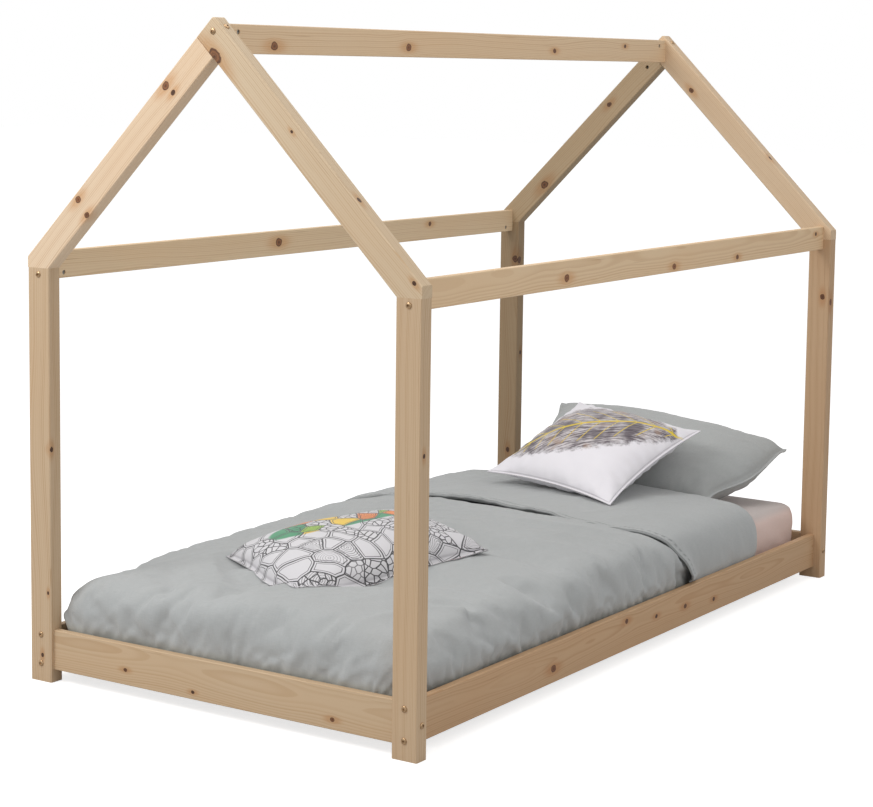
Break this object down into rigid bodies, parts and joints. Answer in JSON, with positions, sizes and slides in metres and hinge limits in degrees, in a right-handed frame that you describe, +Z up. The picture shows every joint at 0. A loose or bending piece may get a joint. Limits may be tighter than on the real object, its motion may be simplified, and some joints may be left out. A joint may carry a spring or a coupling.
{
  "type": "house frame bed",
  "caption": "Low child's bed in pine with a house-shaped frame of posts, gables, ridge and eave rails over a slatted base, made up with mattress, folded duvet, pillow and cushions.",
  "frame": {"origin": "on the floor under the middle of the bed", "axes": "+X across the bed to the right as seen from its foot, +Y from the foot end to the head end, +Z up"},
  "size_m": [1.026, 1.976, 1.4399],
  "materials": {
    "pine": "natural knotty pine, planed, matt",
    "slat_pine": "plain planed pine, matt",
    "bolt_bronze": "bronzed, satin",
    "nut_steel": "zinc plated",
    "sheet_cotton": "pale pink cotton, matt",
    "duvet_cotton": "washed grey cotton, matt",
    "pillow_cotton": "washed grey cotton, matt",
    "square_cushion_cover": "smooth white cloth with a printed picture",
    "oblong_cushion_cover": "white cotton with a line print"
  },
  "bodies": {
    "frame": {"post_foot_left": "pine", "post_foot_right": "pine", "post_head_left": "pine", "post_head_right": "pine", "rafter_foot_left": "pine", "rafter_foot_right": "pine", "rafter_head_left": "pine", "rafter_head_right": "pine", "side_rail_left": "pine", "side_rail_right": "pine", "end_rail_foot": "pine", "end_rail_head": "pine", "eave_rail_left": "pine", "eave_rail_right": "pine", "ridge_beam": "pine", "slat_ledger_left": "slat_pine", "slat_ledger_right": "slat_pine", "slat_01": "slat_pine", "slat_02": "slat_pine", "slat_03": "slat_pine", "slat_04": "slat_pine", "slat_05": "slat_pine", "slat_06": "slat_pine", "slat_07": "slat_pine", "slat_08": "slat_pine", "slat_09": "slat_pine", "slat_10": "slat_pine", "slat_11": "slat_pine", "slat_12": "slat_pine", "slat_13": "slat_pine", "slat_14": "slat_pine", "side_rail_bolts": "bolt_bronze", "eave_rail_bolts": "bolt_bronze", "ridge_bolts": "bolt_bronze", "end_rail_bolts": "bolt_bronze", "apex_bolts": "bolt_bronze", "eave_rail_nuts": "nut_steel", "ridge_nuts": "nut_steel", "apex_nuts": "nut_steel"},
    "mattress": {"mattress": "sheet_cotton"},
    "duvet": {"duvet": "duvet_cotton"},
    "pillow": {"pillow": "pillow_cotton"},
    "square_cushion": {"square_cushion": "square_cushion_cover"},
    "oblong_cushion": {"oblong_cushion": "oblong_cushion_cover"}
  },
  "joints": [
    {"name": "mattress_lift", "type": "slide", "parent": "frame", "child": "mattress", "axis": [0, 0, 1], "range_m": [0, 0.2]},
    {"name": "duvet_lift", "type": "slide", "parent": "mattress", "child": "duvet", "axis": [0, 0, 1], "range_m": [0, 0.15]},
    {"name": "pillow_lift", "type": "slide", "parent": "duvet", "child": "pillow", "axis": [0, 0, 1], "range_m": [0, 0.15]},
    {"name": "square_cushion_lift", "type": "slide", "parent": "pillow", "child": "square_cushion", "axis": [0, 0, 1], "range_m": [0, 0.15]},
    {"name": "oblong_cushion_lift", "type": "slide", "parent": "duvet", "child": "oblong_cushion", "axis": [0, 0, 1], "range_m": [0, 0.15]}
  ]
}
